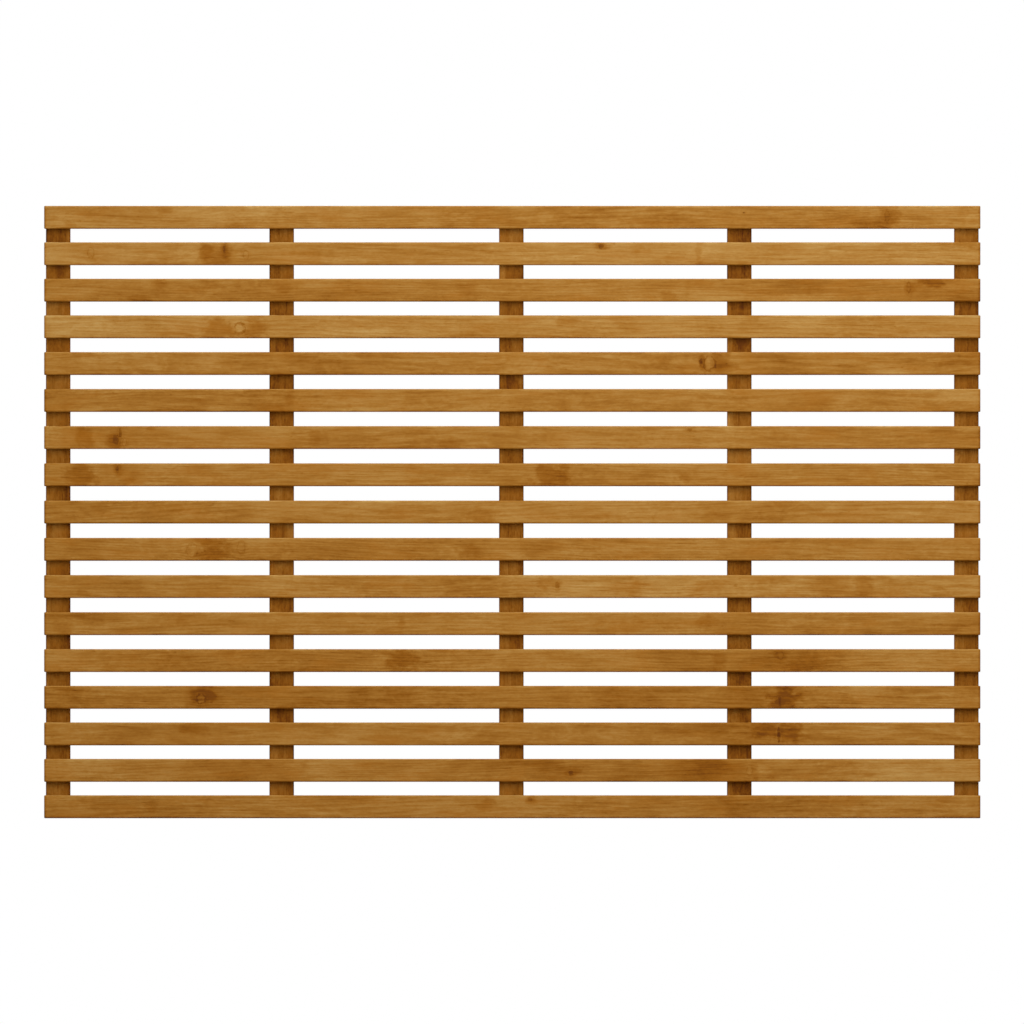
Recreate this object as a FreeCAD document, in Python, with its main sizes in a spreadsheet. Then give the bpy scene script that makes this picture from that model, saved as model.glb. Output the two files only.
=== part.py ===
"""Slatted trellis panel: planed softwood slats screwed from behind to upright battens.

The panel stands on its lower edge. +X runs along the slats, +Z is up, and the slats face -Y.
The origin is at the middle of the lower edge, half way through the panel's depth.
"""

import FreeCAD, Part
import math
import os

import Sketcher

# Driving sizes in millimetres, with counts as plain numbers
SIZES = {
    "panel_width": 1830.0,  # length of every slat
    "slat_count": 17,
    "slat_face": 45.0,  # height of a slat's front face
    "slat_depth": 18.0,
    "slat_gap": 27.0,  # open height between two slats, on average
    "setting_drift": 2.3,  # slats a quarter of the way in from an edge stand this much nearer to it
    "slat_round": 2.5,  # radius planed on the long arrises
    "slat_end_ease": 1.2,  # radius sanded on the sawn ends
    "batten_count": 5,
    "batten_face": 48.0,  # width of a batten behind the slats
    "batten_depth": 20.0,
    "batten_round": 2.0,
    "batten_end_ease": 1.0,
    "batten_inset": 3.5,  # how far the outer battens stand in from the slat ends
    "second_batten_shift": -7.0,  # the second batten from the left stands off the even spacing
    "middle_batten_shift": -1.8,
    "screw_edge_in_batten": 13.0,  # from a batten's side to a screw's axis
    "screw_edge_in_slat": 12.5,  # from a slat's edge to a screw's axis
    "screw_sink": 0.4,  # how far a head lies below the batten's rear face
    "screw_cover": 7.6,  # wood left in front of a screw's tip
    "screw_diameter": 4.0,
    "screw_tip_length": 4.5,
    "screw_head_diameter": 8.0,
    "screw_head_rim": 0.4,  # straight edge of the head above its cone
    "recess_span": 4.4,  # tip to tip of the cross recess
    "recess_width": 1.1,
    "recess_depth": 1.7,
    "shank_clearance": 0.3,  # around a screw in a batten, on the radius
    "seat_clearance": 0.05,  # around a head in its countersink, on the radius
    "bite_clearance": 0.05,  # around a screw in a slat, on the radius
    "pilot_overrun": 0.6,  # how far a pilot hole is drilled past the screw's tip
}
ANGLES = {
    "countersink_angle": 90.0,  # full angle of the head's cone
    "recess_turn": 137.5,  # each screw stops this much further round than the last
}
SHARES = {
    "ease_limit_share": 0.8,  # most of a long arris's radius that an end's easing may take
}

doc = FreeCAD.newDocument("trellis_panel")


def make_sheet():
    """The spreadsheet that holds every driving value under its own alias."""
    sheet = doc.addObject("Spreadsheet::Sheet", "Sizes")
    for row, (alias, value) in enumerate({**SIZES, **ANGLES, **SHARES}.items(), start=1):
        sheet.set(f"A{row}", alias)
        sheet.set(f"B{row}", str(value))
        sheet.setAlias(f"B{row}", alias)
    doc.recompute()
    return sheet


sheet = make_sheet()


# Places and sizes that follow from the driving values, as expressions on the sheet
SLAT_PITCH = "(Sizes.slat_face + Sizes.slat_gap)"
LOWEST_SLAT = "(Sizes.slat_face / 2)"
PANEL_HEIGHT = f"(Sizes.slat_face + {SLAT_PITCH} * (Sizes.slat_count - 1))"
JOINT_PLANE = "((Sizes.slat_depth - Sizes.batten_depth) / 2)"
BATTEN_SPAN = "(Sizes.panel_width - 2 * Sizes.batten_inset - Sizes.batten_face)"
BATTEN_PITCH = f"({BATTEN_SPAN} / (Sizes.batten_count - 1))"
SCREW_REACH = "(Sizes.slat_depth - Sizes.screw_cover)"
SCREW_LENGTH = f"(Sizes.batten_depth - Sizes.screw_sink + {SCREW_REACH})"
SCREW_OFF_X = "(Sizes.batten_face / 2 - Sizes.screw_edge_in_batten)"
SCREW_OFF_Z = "(Sizes.slat_face / 2 - Sizes.screw_edge_in_slat)"
CONE_SLOPE = "tan(Sizes.countersink_angle / 2 * 1 deg)"
HEAD_CONE = f"((Sizes.screw_head_diameter - Sizes.screw_diameter) / 2 / {CONE_SLOPE})"
SINK_DIAMETER = (
    "(Sizes.screw_head_diameter + 2 * Sizes.seat_clearance"
    f" + 2 * (Sizes.screw_sink + Sizes.screw_head_rim) * {CONE_SLOPE})"
)


def value(expression):
    """The number that an expression on the sheet gives."""
    number = sheet.evalExpression(expression)
    return float(getattr(number, "Value", number))


def slat_height(index):
    """Height of a slat's middle line, as an expression; slat 0 is the top one.

    The setting out drifts: one sine wave over the panel's height is added to the even spacing.
    """
    even = f"{LOWEST_SLAT} + {SLAT_PITCH} * (Sizes.slat_count - 1 - {index})"
    return f"({even} + Sizes.setting_drift * sin(360 deg * {index} / (Sizes.slat_count - 1)))"


def batten_place(index):
    """A batten's middle line along X, as an expression; batten 0 is the left one.

    Two inner battens were set out by eye, so each has a shift of its own from the even spacing.
    """
    even = f"({BATTEN_PITCH} * {index} - {BATTEN_SPAN} / 2)"
    shifts = {1: "Sizes.second_batten_shift", 2: "Sizes.middle_batten_shift"}
    return f"({even} + {shifts[index]})" if index in shifts else even


def plane(body, role):
    """One of a body's own origin planes."""
    return next(f for f in body.Origin.OriginFeatures if f.Role == role)


def new_sketch(body, name, role, offset=None):
    """A sketch on one of the body's origin planes, moved along the plane's normal by an expression."""
    sketch = body.newObject("Sketcher::SketchObject", name)
    sketch.AttachmentSupport = (plane(body, role), [""])
    sketch.MapMode = "FlatFace"
    if offset:
        sketch.setExpression("AttachmentOffset.Base.z", offset)
    return sketch


def bind(sketch, name, expression, *constraint):
    """A named dimension of a sketch that follows an expression."""
    index = sketch.addConstraint(Sketcher.Constraint(*constraint, value(expression)))
    sketch.renameConstraint(index, name)
    sketch.setExpression(f"Constraints.{name}", expression)


def point(x, y):
    """A point in a sketch's own plane."""
    return FreeCAD.Vector(x, y, 0)


def draw_section(sketch, low_x, low_y, wide, tall, radius):
    """A rectangle with rounded corners: its lower left corner, sizes and radius are expressions.

    Sides 0 to 3 run round it from the lower one, and corners 4 to 7 follow them.
    """
    x0, y0 = value(low_x), value(low_y)
    x1, y1 = x0 + value(wide), y0 + value(tall)
    r = value(radius)
    sides = [
        (point(x0 + r, y0), point(x1 - r, y0)),
        (point(x1, y0 + r), point(x1, y1 - r)),
        (point(x1 - r, y1), point(x0 + r, y1)),
        (point(x0, y1 - r), point(x0, y0 + r)),
    ]
    centres = [
        point(x1 - r, y0 + r),
        point(x1 - r, y1 - r),
        point(x0 + r, y1 - r),
        point(x0 + r, y0 + r),
    ]
    quarter = math.pi / 2
    for start, end in sides:
        sketch.addGeometry(Part.LineSegment(start, end))
    for number, centre in enumerate(centres):
        circle = Part.Circle(centre, FreeCAD.Vector(0, 0, 1), r)
        sketch.addGeometry(Part.ArcOfCircle(circle, quarter * (number - 1), quarter * number))
    for number in range(len(sides)):
        corner = number + len(sides)
        following = (number + 1) % len(sides)
        sketch.addConstraint(Sketcher.Constraint("Tangent", number, 2, corner, 1))
        sketch.addConstraint(Sketcher.Constraint("Tangent", corner, 2, following, 1))
    for number, way in enumerate(["Horizontal", "Vertical", "Horizontal", "Vertical"]):
        sketch.addConstraint(Sketcher.Constraint(way, number))
    for corner in (5, 6, 7):
        sketch.addConstraint(Sketcher.Constraint("Equal", 4, corner))
    bind(sketch, "corner_radius", radius, "Radius", 4)
    bind(sketch, "low_x", low_x, "DistanceX", -1, 1, 3, 2)
    bind(sketch, "low_y", low_y, "DistanceY", -1, 1, 0, 1)
    bind(sketch, "wide", wide, "DistanceX", 3, 2, 1, 1)
    bind(sketch, "tall", tall, "DistanceY", 0, 1, 2, 2)


def draw_circle(sketch, name, x, y, diameter):
    """A circle whose centre and diameter are expressions."""
    centre = point(value(x), value(y))
    circle = sketch.addGeometry(Part.Circle(centre, FreeCAD.Vector(0, 0, 1), value(diameter) / 2))
    bind(sketch, f"{name}_x", x, "DistanceX", -1, 1, circle, 3)
    bind(sketch, f"{name}_y", y, "DistanceY", -1, 1, circle, 3)
    bind(sketch, f"{name}_diameter", diameter, "Diameter", circle)


def draw_outline(sketch, outline):
    """A closed outline of straight sides, whose corners are pairs of expressions."""
    corners = [point(value(x), value(y)) for x, y in outline]
    following = corners[1:] + corners[:1]
    for start, end in zip(corners, following):
        sketch.addGeometry(Part.LineSegment(start, end))
    for number in range(len(outline)):
        before = (number - 1) % len(outline)
        sketch.addConstraint(Sketcher.Constraint("Coincident", before, 2, number, 1))
    for number, (x, y) in enumerate(outline):
        bind(sketch, f"x_{number}", x, "DistanceX", -1, 1, number, 1)
        bind(sketch, f"y_{number}", y, "DistanceY", -1, 1, number, 1)


def cross_corners(far, near):
    """The corners of a plain cross about the origin, from half its span and half its arms' width."""
    quarter = [(far, near), (near, near), (near, far)]
    outline = list(quarter)
    for _ in range(3):
        quarter = [(f"-{y}", x) for x, y in quarter]
        outline += quarter
    return outline


def ease_ends(body, board, axis, ease, arris):
    """Rounds the edges round both sawn ends of a board that lies along one axis, 0 to 2."""
    doc.recompute()
    square_on = 1 - Part.Precision.angular()
    ends = [
        f"Face{number}"
        for number, face in enumerate(board.Shape.Faces, start=1)
        if abs(face.normalAt(0, 0)[axis]) > square_on
    ]
    fillet = body.newObject("PartDesign::Fillet", "eased_ends")
    fillet.Base = (board, ends)
    fillet.setExpression("Radius", f"min({ease}; {arris} * Sizes.ease_limit_share)")


def make_slat(index):
    """One slat: a planed board along X, with blind pilot holes in its back at every batten."""
    body = doc.addObject("PartDesign::Body", f"slat_{index + 1:02d}")
    body.Label = f"slat_{index + 1:02d}"
    section = new_sketch(body, "section", "YZ_Plane")
    low_y, low_z = "-Sizes.slat_depth", "-Sizes.slat_face / 2"
    draw_section(section, low_y, low_z, "Sizes.slat_depth", "Sizes.slat_face", "Sizes.slat_round")
    board = body.newObject("PartDesign::Pad", "board")
    board.Profile = section
    board.SideType = "Symmetric"
    board.setExpression("Length", "Sizes.panel_width")
    ease_ends(body, board, 0, "Sizes.slat_end_ease", "Sizes.slat_round")

    marks = new_sketch(body, "pilot_marks", "XZ_Plane")
    diameter = "(Sizes.screw_diameter + 2 * Sizes.bite_clearance)"
    for number in range(int(SIZES["batten_count"])):
        place = batten_place(number)
        draw_circle(marks, f"upper_{number}", f"{place} + {SCREW_OFF_X}", SCREW_OFF_Z, diameter)
        draw_circle(marks, f"lower_{number}", f"{place} - {SCREW_OFF_X}", f"-{SCREW_OFF_Z}", diameter)
    pilots = body.newObject("PartDesign::Pocket", "pilot_holes")
    pilots.Profile = marks
    pilots.Reversed = True
    pilots.setExpression("Length", f"{SCREW_REACH} + Sizes.pilot_overrun")

    body.setExpression("Placement.Base.y", JOINT_PLANE)
    body.setExpression("Placement.Base.z", slat_height(index))
    return body


def make_batten(index):
    """One batten: an upright board with a pair of countersunk screw holes behind every slat."""
    body = doc.addObject("PartDesign::Body", f"batten_{index + 1}")
    body.Label = f"batten_{index + 1}"
    section = new_sketch(body, "section", "XY_Plane")
    low_x, low_y = "-Sizes.batten_face / 2", "0"
    draw_section(section, low_x, low_y, "Sizes.batten_face", "Sizes.batten_depth", "Sizes.batten_round")
    board = body.newObject("PartDesign::Pad", "board")
    board.Profile = section
    board.setExpression("Length", PANEL_HEIGHT)
    ease_ends(body, board, 2, "Sizes.batten_end_ease", "Sizes.batten_round")

    marks = new_sketch(body, "screw_marks", "XZ_Plane", "-Sizes.batten_depth")
    diameter = "(Sizes.screw_diameter + 2 * Sizes.shank_clearance)"
    for number in range(int(SIZES["slat_count"])):
        height = slat_height(number)
        draw_circle(marks, f"upper_{number}", SCREW_OFF_X, f"{height} + {SCREW_OFF_Z}", diameter)
        draw_circle(marks, f"lower_{number}", f"-{SCREW_OFF_X}", f"{height} - {SCREW_OFF_Z}", diameter)
    doc.recompute()
    holes = body.newObject("PartDesign::Hole", "screw_holes")
    holes.Profile = marks
    doc.recompute()
    holes.Reversed = True
    holes.DepthType = "ThroughAll"
    holes.HoleCutType = "Countersink"
    holes.HoleCutCustomValues = True
    holes.setExpression("Diameter", diameter)
    holes.setExpression("HoleCutDiameter", SINK_DIAMETER)
    holes.setExpression("HoleCutCountersinkAngle", "Sizes.countersink_angle")

    body.setExpression("Placement.Base.x", batten_place(index))
    body.setExpression("Placement.Base.y", JOINT_PLANE)
    return body


def make_screw():
    """The one pattern for all screws: its head's top is at the origin, and it points down -Z."""
    body = doc.addObject("PartDesign::Body", "screw_pattern")
    half = new_sketch(body, "half_section", "XZ_Plane")
    head = "Sizes.screw_head_diameter / 2"
    shank = "Sizes.screw_diameter / 2"
    cone_foot = f"(Sizes.screw_head_rim + {HEAD_CONE})"
    outline = [
        ("0", "0"),
        (head, "0"),
        (head, "-Sizes.screw_head_rim"),
        (shank, f"-{cone_foot}"),
        (shank, f"-({SCREW_LENGTH} - Sizes.screw_tip_length)"),
        ("0", f"-{SCREW_LENGTH}"),
    ]
    draw_outline(half, outline)
    turned = body.newObject("PartDesign::Revolution", "turned_blank")
    turned.Profile = half
    turned.ReferenceAxis = (half, ["V_Axis"])
    doc.recompute()

    cross = new_sketch(body, "recess_cross", "XY_Plane")
    draw_outline(cross, cross_corners("(Sizes.recess_span / 2)", "(Sizes.recess_width / 2)"))
    recess = body.newObject("PartDesign::Pocket", "cross_recess")
    recess.Profile = cross
    recess.setExpression("Length", "Sizes.recess_depth")
    return body


def make_screws(index, pattern):
    """All the screws of one batten, each a separate solid, two at every slat."""
    rear = value(f"{JOINT_PLANE} + Sizes.batten_depth - Sizes.screw_sink")
    middle = value(batten_place(index))
    off_x, off_z = value(SCREW_OFF_X), value(SCREW_OFF_Z)
    head_to_rear = FreeCAD.Rotation(FreeCAD.Vector(1, 0, 0), -90)
    screws = []
    for row in range(int(SIZES["slat_count"])):
        height = value(slat_height(row))
        for side in (-1, 1):
            turn = FreeCAD.Rotation(FreeCAD.Vector(0, 0, 1), value("Sizes.recess_turn") * len(screws))
            place = FreeCAD.Vector(middle + side * off_x, rear, height + side * off_z)
            screw = pattern.Shape.copy()
            screw.Placement = FreeCAD.Placement(place, head_to_rear * turn)
            screws.append(screw)
    group = doc.addObject("Part::Feature", f"batten_{index + 1}_screws")
    group.Label = f"batten_{index + 1}_screws"
    group.Shape = Part.makeCompound(screws)
    return group


def check(parts):
    """Stops with a plain message if an object failed, a cut removed nothing or a part isn't sound."""
    cuts = ("PartDesign::Pocket", "PartDesign::Hole")
    for thing in doc.Objects:
        if {"Invalid", "Error"} & set(thing.State):
            raise RuntimeError(f"{thing.Label} failed: {thing.State}")
        if thing.TypeId in cuts and thing.Shape.Volume >= thing.BaseFeature.Shape.Volume:
            raise RuntimeError(f"{thing.Label} cut nothing")
    for part in parts:
        if part.Shape.isNull() or not part.Shape.isValid() or not part.Shape.Solids:
            raise RuntimeError(f"{part.Label} is not a valid solid")


slats = [make_slat(index) for index in range(int(SIZES["slat_count"]))]
battens = [make_batten(index) for index in range(int(SIZES["batten_count"]))]
screw_pattern = make_screw()
doc.recompute()
screw_groups = [make_screws(index, screw_pattern) for index in range(int(SIZES["batten_count"]))]
doc.recompute()

parts = slats + battens + screw_groups
check(parts)
os.makedirs("parts", exist_ok=True)
for part in parts:
    part.Shape.exportStep(f"parts/{part.Label}.step")
    print(part.Label, len(part.Shape.Solids), "solids", round(part.Shape.Volume, 1), "mm3")
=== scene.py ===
"""Looks of a slatted trellis panel: stained softwood slats on upright battens, screwed from behind."""
import math

import bpy
import numpy as np
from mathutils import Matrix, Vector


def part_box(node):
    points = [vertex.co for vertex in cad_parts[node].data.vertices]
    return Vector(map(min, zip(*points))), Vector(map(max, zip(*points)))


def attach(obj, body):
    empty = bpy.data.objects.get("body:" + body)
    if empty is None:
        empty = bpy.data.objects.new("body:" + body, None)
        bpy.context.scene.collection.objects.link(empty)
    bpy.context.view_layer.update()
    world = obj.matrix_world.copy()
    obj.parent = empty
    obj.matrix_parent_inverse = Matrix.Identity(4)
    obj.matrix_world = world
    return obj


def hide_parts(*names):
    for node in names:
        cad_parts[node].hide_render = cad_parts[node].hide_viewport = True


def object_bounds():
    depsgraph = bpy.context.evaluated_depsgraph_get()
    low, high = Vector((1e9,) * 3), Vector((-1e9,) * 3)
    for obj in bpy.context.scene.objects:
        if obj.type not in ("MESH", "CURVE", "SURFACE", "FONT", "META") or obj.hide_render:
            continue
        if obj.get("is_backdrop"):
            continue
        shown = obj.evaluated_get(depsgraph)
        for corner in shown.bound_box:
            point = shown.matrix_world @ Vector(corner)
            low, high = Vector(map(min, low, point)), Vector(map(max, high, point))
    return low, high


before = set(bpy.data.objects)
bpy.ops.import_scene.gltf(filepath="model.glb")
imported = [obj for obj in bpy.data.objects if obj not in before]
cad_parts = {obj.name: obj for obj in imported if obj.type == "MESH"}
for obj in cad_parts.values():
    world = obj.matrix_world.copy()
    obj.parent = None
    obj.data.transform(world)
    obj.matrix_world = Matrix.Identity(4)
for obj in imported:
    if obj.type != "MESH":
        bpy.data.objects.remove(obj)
cad_low, cad_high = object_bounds()
millimetre = 0.001

# Slats
# Seventeen planed softwood boards with rounded arrises and sawn, eased ends, laid face down on the bench.
# They were dipped in a thin golden brown stain.  It soaks in unevenly and lets grain and knots show.

slat_count = 17
slat_round = 0.0025
slat_ease = 0.002
slat_ring_pitch = 0.0046
slat_row_step = 0.012
slat_strips = 4
slat_line_count = 15
slat_nick_count = 10
slat_waver = 0.0015
# Painted shade along each slat's lower arris: its width and strength.
slat_low_edge_shade_width = 0.0037
slat_low_edge_shade_share = 0.3
# Painted highlight along each slat's upper arris: its width and strength.
slat_top_edge_highlight_width = 0.0055
slat_top_edge_highlight_share = 0.07
slat_edge_margin = 0.001

# Starts of the random draws; a slat's number is added to each.
slat_nick_seed = 100
slat_pith_seed = 200
slat_log_seed = 300
slat_waver_seed = 400

# Rows of the mesh beside each bruise and each knot in metres, and across each patch in its half lengths.
nick_rows = np.array([-9, -6, -4, -2.5, -1.2, 0, 1.2, 2.5, 4, 6, 9]) * millimetre
knot_rows = np.linspace(-0.03, 0.03, 21)
soak_rows = np.array([-1.3, -1, -0.7, -0.35, 0, 0.35, 0.7, 1, 1.3])

# A darker strip on the faces near the sawn ends, partly stain soaked in through them and partly painted
# shade of the eased ends: where it starts to fade, where it is gone, and its strength.
end_stain_and_shade_start = 0.0015
end_stain_and_shade_stop = 0.0055
end_stain_and_shade_share = 0.6

# How light each slat took the stain, from the top one down, about a middling 0.
slat_tones = (0.03, 0.10, -0.02, 0.06, 0.03, 0.0, 0.06, -0.02, 0.085, -0.01, 0.09, -0.02, -0.045, -0.05,
              0.02, 0.03, 0.03)

# Knots that show, by slat: place along it and up it from its middle, radius along and up, strength, spread
# of the stained halo along the grain in radii, and how pale the heart is.  Lengths are in millimetres.
slat_knots = {
    1: [(455, 9, 1.6, 1.6, 0.8, 3, 0), (735, 2, 5, 12, 0.35, 4, 0.5)],
    2: [(-561, 10, 3, 9, 0.45, 4, 0.1), (-518, -2, 5, 8, 0.5, 3, 0.9), (-821, 2, 6, 10, 0.5, 3, 0.9),
        (176, 15, 5, 4, 0.7, 3, 0)],
    3: [(777, 6, 4, 10, 0.45, 3, 0.8)],
    4: [(-530, -3, 10, 10, 0.75, 3, 0.9)],
    5: [(388, 0, 12, 13, 0.6, 2.5, 0.95), (371, 3, 4, 7, 0.7, 2, 0)],
    7: [(-764, 9, 3, 8, 0.6, 4, 0.1), (-773, -5, 5, 9, 0.48, 3, 0.2), (-756, -10, 4, 8, 0.4, 3, 0.95),
        (349, 15, 4, 3, 0.5, 4, 0.1)],
    8: [(-770, 10, 3, 6, 0.5, 4, 0.1)],
    10: [(-624, -3, 11, 13, 0.35, 1.5, 1.0), (-528, 4, 8, 12, 0.3, 2, 1.0)],
    11: [(90, 3, 4, 6, 0.5, 3, 0.1), (440, 3, 3, 3, 0.4, 3, 0.2)],
    13: [(527, 10, 5, 8, 0.35, 3, 0.85)],
    14: [(525, -7, 3, 9, 0.8, 4, 0), (-606, -3, 9, 9, 0.6, 2.5, 0.9)],
    15: [(523, -2, 3.2, 13, 0.7, 4, 0)],
    16: [(117, -6, 4, 5, 0.5, 4, 0.1), (466, 0, 6, 10, 0.3, 2, 1.0)],
    17: [(37, 14, 4, 4, 0.5, 3, 0.1)],
}

# Patches that drank more stain, round knots and where the grain dips through the face, by slat: place along
# it and up it from its middle, half length, half height and darkness.  Lengths are in millimetres.  A patch
# whose half length is over the broad limit, in metres, is a soft stretch, paler where darkness is below 0.
broad_limit = 0.031
slat_soaks = {
    1: [(-866, -14, 10, 10, 0.35), (-677, 14, 12, 9, 0.4), (-538, -19, 24, 7, 0.45), (735, 0, 22, 26, 0.6),
        (692, -10, 36, 10, 0.45)],
    2: [(-598, 6, 12, 16, 0.75), (-559, 8, 9, 16, 0.8), (-579, -4, 34, 26, 0.85), (176, 17, 15, 9, 0.8),
        (246, 8, 16, 12, 0.3), (365, 0, 7, 20, 0.45),
        (-760, 0, 130, 50, 0.25), (300, 0, 120, 50, 0.25), (750, 0, 190, 50, -0.4)],
    3: [(-692, 10, 16, 11, 0.6), (-729, -17, 20, 7, 0.4), (-450, 6, 22, 9, 0.5), (-460, 0, 60, 22, 0.25),
        (-90, 0, 18, 14, 0.35), (304, -14, 17, 9, 0.5), (592, 0, 22, 8, 0.4), (818, 14, 24, 9, 0.85),
        (777, 4, 8, 14, 0.4), (800, 2, 90, 26, 0.25)],
    4: [(-573, -6, 28, 20, 0.85), (-499, -3, 24, 30, 0.85), (105, 13, 22, 8, 0.5), (-83, -14, 15, 7, 0.4)],
    5: [(371, 3, 6, 9, 0.8), (410, 4, 20, 24, 0.7), (299, 6, 14, 14, 0.3), (-841, 18, 18, 6, 0.4),
        (690, 0, 130, 50, -0.3)],
    6: [(-436, 8, 9, 12, 0.4), (97, -12, 15, 8, 0.3), (-600, 0, 100, 50, -0.3), (530, 0, 100, 50, 0.25)],
    7: [(-836, -2, 14, 26, 0.7), (-777, -5, 12, 16, 0.75), (-690, 0, 210, 45, 0.45), (-706, 18, 9, 5, 0.5),
        (-385, 2, 22, 13, 0.5), (-118, -11, 22, 9, 0.55), (348, 15, 10, 6, 0.5)],
    8: [(-843, 0, 24, 30, 0.9), (-813, -14, 10, 8, 0.5), (-770, 10, 7, 12, 0.6), (-747, -14, 20, 7, 0.5),
        (76, 2, 30, 28, 0.95), (340, -8, 11, 8, 0.4),
        (-765, 0, 50, 50, 0.3), (410, 0, 90, 50, 0.25), (800, 0, 130, 50, -0.3)],
    9: [(-59, -6, 30, 16, 0.65), (392, -10, 24, 10, 0.35)],
    10: [(-584, 0, 30, 30, 0.95), (-80, -6, 22, 11, 0.45), (66, 0, 40, 22, 0.25)],
    11: [(-833, -13, 14, 6, 0.5), (-614, -4, 46, 18, 0.3), (66, 10, 20, 14, 0.6), (90, 2, 7, 10, 0.55),
         (242, 0, 14, 22, 0.35), (625, 2, 42, 22, 0.6), (686, 0, 18, 20, 0.55)],
    12: [(-880, -6, 18, 14, 0.4), (-653, 6, 26, 12, 0.4), (375, 4, 18, 11, 0.45), (-217, 2, 6, 18, 0.35)],
    13: [(-217, 0, 28, 20, 0.85), (527, 12, 13, 11, 0.4), (402, -2, 18, 14, 0.45), (555, -13, 12, 9, 0.5),
         (-665, 2, 26, 14, 0.35), (575, -2, 34, 22, 0.25), (-720, 0, 120, 50, 0.25), (750, 0, 120, 50, -0.2)],
    14: [(-591, 3, 9, 17, 0.95), (-622, 4, 8, 11, 0.6), (-606, 13, 15, 8, 0.7), (-602, 0, 40, 28, 0.45),
         (531, -3, 30, 24, 1.3), (445, -4, 60, 24, 0.3), (-219, 0, 36, 18, 0.25), (190, 0, 130, 50, 0.25),
         (720, 0, 150, 50, -0.25)],
    15: [(-618, 10, 28, 12, 0.45), (-818, -12, 18, 9, 0.35), (500, 8, 20, 18, 1.0), (545, 4, 22, 22, 1.15),
         (400, 0, 110, 28, 0.25),
         (-610, 0, 90, 50, 0.35), (-870, 0, 80, 50, -0.35), (780, 0, 180, 50, -0.35)],
    16: [(117, -4, 15, 12, 0.55), (74, 0, 36, 20, 0.3), (389, 8, 30, 20, 0.35), (377, 0, 90, 30, 0.65),
         (473, 0, 6, 20, 0.45), (510, -12, 14, 7, 0.35), (-540, 0, 140, 50, 0.4), (790, 0, 150, 50, -0.35)],
    17: [(-53, 6, 16, 14, 0.55), (37, 14, 9, 8, 0.5), (-704, 6, 12, 12, 0.3), (-190, 0, 100, 50, 0.25)],
}


def section_columns(face, depth, radius, front_lines, rear_lines):
    """Points round a board's section: core places and outward normals, across the face and the depth.

    The section is a core rectangle pushed out by the arris radius: a point is its core place plus the radius
    times its normal, and round an arris the normal turns a quarter circle about one corner of the core.
    """
    core_face = face / 2 - radius
    core_depth = depth / 2 - radius
    side_lines = core_depth * np.array([-1, -0.94, -0.35, 0.35, 0.94, 1])
    turn = np.linspace(0, math.pi / 2, 6)[1:-1]

    def stretch(*parts):
        return np.stack(np.broadcast_arrays(*parts))

    return np.concatenate([
        stretch(front_lines, -core_depth, 0.0, -1.0),
        stretch(core_face, -core_depth, np.sin(turn), -np.cos(turn)),
        stretch(core_face, side_lines, 1.0, 0.0),
        stretch(core_face, core_depth, np.cos(turn), np.sin(turn)),
        stretch(rear_lines[::-1], core_depth, 0.0, 1.0),
        stretch(-core_face, core_depth, -np.sin(turn), np.cos(turn)),
        stretch(-core_face, side_lines[::-1], -1.0, 0.0),
        stretch(-core_face, -core_depth, -np.cos(turn), -np.sin(turn)),
    ], axis=1)


def face_lines(face, radius, count):
    """Even lines across a flat face, with two more beside each arris so that it stays flat to its edge."""
    half = face / 2 - radius
    return half * np.concatenate([[-1, -0.975], np.linspace(-0.94, 0.94, count), [0.975, 1]])


def rise(value, low, high):
    """0 below low and 1 above high, and between them three squares less two cubes of the share."""
    share = np.clip((value - low) / (high - low), 0, 1)
    return share * share * (3 - 2 * share)


def near_faces(depth, depth_size, start, least):
    """How the painted edge shade runs through a board's depth: least in the middle, rising smoothly to 1
    near the faces.
    """
    full = 0.48
    return least + (1 - least) * rise(np.abs(depth), depth_size * start, depth_size * full)


def end_to_end(length, ease, stations):
    """Rows along a board: each one's place, how far its section is drawn in, and its share of the full size.

    Rows grow out from the middle of one end face, go over its eased edge by a quarter circle, run along the
    board through the stations, with two in the darker strip near each end, partly soaked stain and partly
    painted shade, and come in at the other end.
    """
    half = length / 2
    turn = np.linspace(0, math.pi / 2, 5)
    shares = np.array([0.2, 0.45, 0.7, 0.9, 0.985])
    first = np.stack([
        np.concatenate([np.full(shares.size, -half), ease * (1 - np.cos(turn)) - half]),
        np.concatenate([np.full(shares.size, ease), ease * (1 - np.sin(turn))]),
        np.concatenate([shares, np.ones(turn.size)]),
    ])
    end_stain_and_shade_rows = half - np.array([(end_stain_and_shade_start + end_stain_and_shade_stop) / 2, end_stain_and_shade_stop])
    inner = np.unique(np.round(np.concatenate([stations, -end_stain_and_shade_rows, end_stain_and_shade_rows]), 5))
    inner = inner[np.abs(inner) < half - 1.6 * ease]
    middle = np.stack([inner, np.zeros(inner.size), np.ones(inner.size)])
    last = first[:, ::-1] * np.array([[-1], [1], [1]])
    return np.concatenate([first, middle, last], axis=1)


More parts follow.
